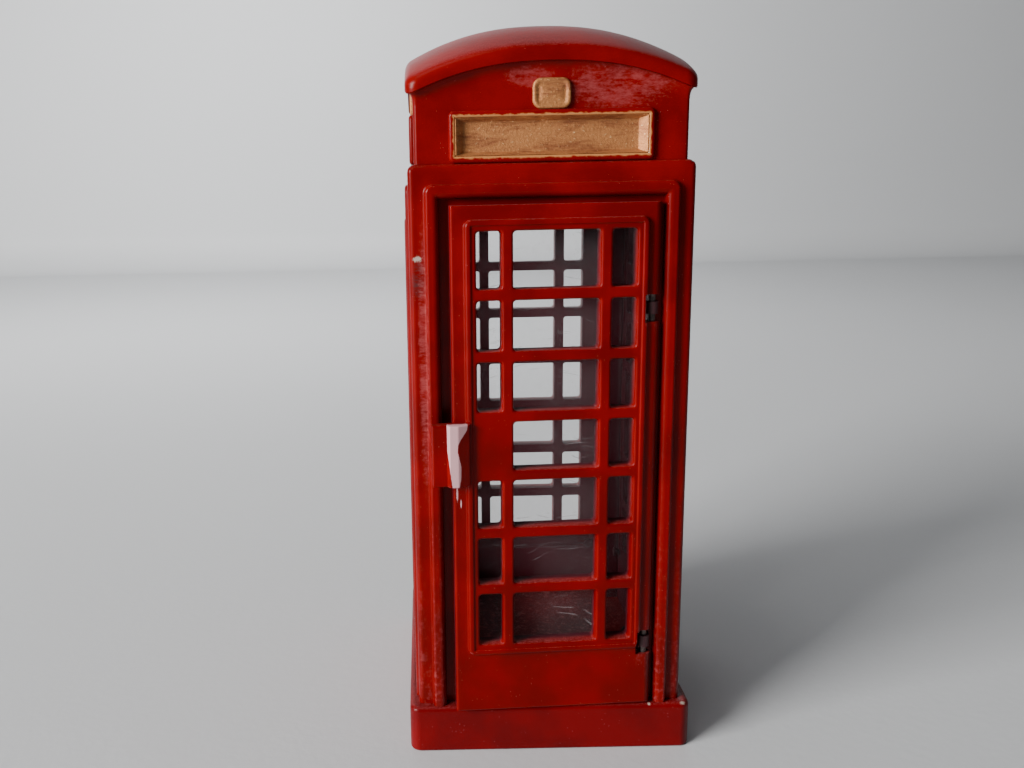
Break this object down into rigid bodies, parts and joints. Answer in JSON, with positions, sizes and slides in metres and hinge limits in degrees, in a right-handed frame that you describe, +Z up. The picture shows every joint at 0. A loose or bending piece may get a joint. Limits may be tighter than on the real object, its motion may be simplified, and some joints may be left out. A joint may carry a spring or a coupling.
{
  "type": "telephone booth miniature",
  "caption": "Miniature die-cast telephone booth with domed roof, gold sign panels, small-paned glazed sides and a hinged door standing slightly ajar.",
  "frame": {"origin": "middle of the underside, on the surface that the booth stands on", "axes": "+Z up, -Y out of the door, +X to the right seen from the front, where the door hinges are"},
  "size_m": [0.044, 0.0476, 0.1117],
  "materials": {
    "red_enamel": "thick glossy red enamel over cast zinc",
    "gold_paint": "hand-brushed metallic gold paint",
    "clear_plastic": "clear plastic sheet with fine scratches",
    "pin_steel": "bright drawn wire",
    "screw_zinc": "zinc plated",
    "dark_zinc": "dark, thinly painted casting",
    "black_plastic": "matte moulded plastic"
  },
  "bodies": {
    "cabin": {"base_plinth": "red_enamel", "base_plate": "black_plastic", "front_frame": "red_enamel", "rear_wall": "red_enamel", "left_wall": "red_enamel", "right_wall": "red_enamel", "head_casting": "red_enamel", "roof_dome": "red_enamel", "rear_glazing": "clear_plastic", "left_glazing": "clear_plastic", "right_glazing": "clear_plastic", "rear_glazing_rivets": "dark_zinc", "left_glazing_rivets": "dark_zinc", "right_glazing_rivets": "dark_zinc", "tie_screws": "screw_zinc", "roof_screws": "screw_zinc", "front_sign": "gold_paint", "rear_sign": "gold_paint", "left_sign": "gold_paint", "right_sign": "gold_paint", "front_emblem": "gold_paint", "rear_emblem": "gold_paint", "left_emblem": "gold_paint", "right_emblem": "gold_paint", "upper_hinge_lug": "dark_zinc", "lower_hinge_lug": "dark_zinc", "upper_hinge_pin": "pin_steel", "lower_hinge_pin": "pin_steel"},
    "door": {"door_casting": "red_enamel", "door_handle": "red_enamel", "door_glazing": "clear_plastic", "door_glazing_rivets": "dark_zinc"}
  },
  "joints": [
    {"name": "door_hinge", "type": "hinge", "parent": "cabin", "child": "door", "pos_m": [0.01445, -0.021, 0.046], "axis": [0, 0, 1], "range_deg": [-3, 97]}
  ]
}
